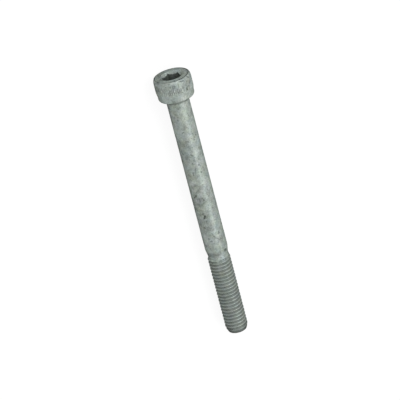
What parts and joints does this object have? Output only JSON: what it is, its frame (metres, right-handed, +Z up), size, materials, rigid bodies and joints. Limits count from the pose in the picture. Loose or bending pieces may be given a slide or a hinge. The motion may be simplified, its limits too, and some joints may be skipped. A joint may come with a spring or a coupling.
{
  "type": "hex socket cap screw",
  "caption": "Hex socket cap screw with a knurled cylindrical head, a long plain shank, a short neck and a rolled metric thread with a chamfered tip, lying on its side.",
  "frame": {"origin": "middle of the footprint, on the surface that the screw lies on", "axes": "+X from the head towards the tip, as seen from above; +Z up"},
  "size_m": [0.0982, 0.013, 0.013],
  "materials": {
    "galvanised_steel": "hot-dip galvanised: dull grey zinc with a faint green cast, mottled and lightly pitted"
  },
  "bodies": {
    "root": {"cap_screw": "galvanised_steel"}
  },
  "joints": []
}
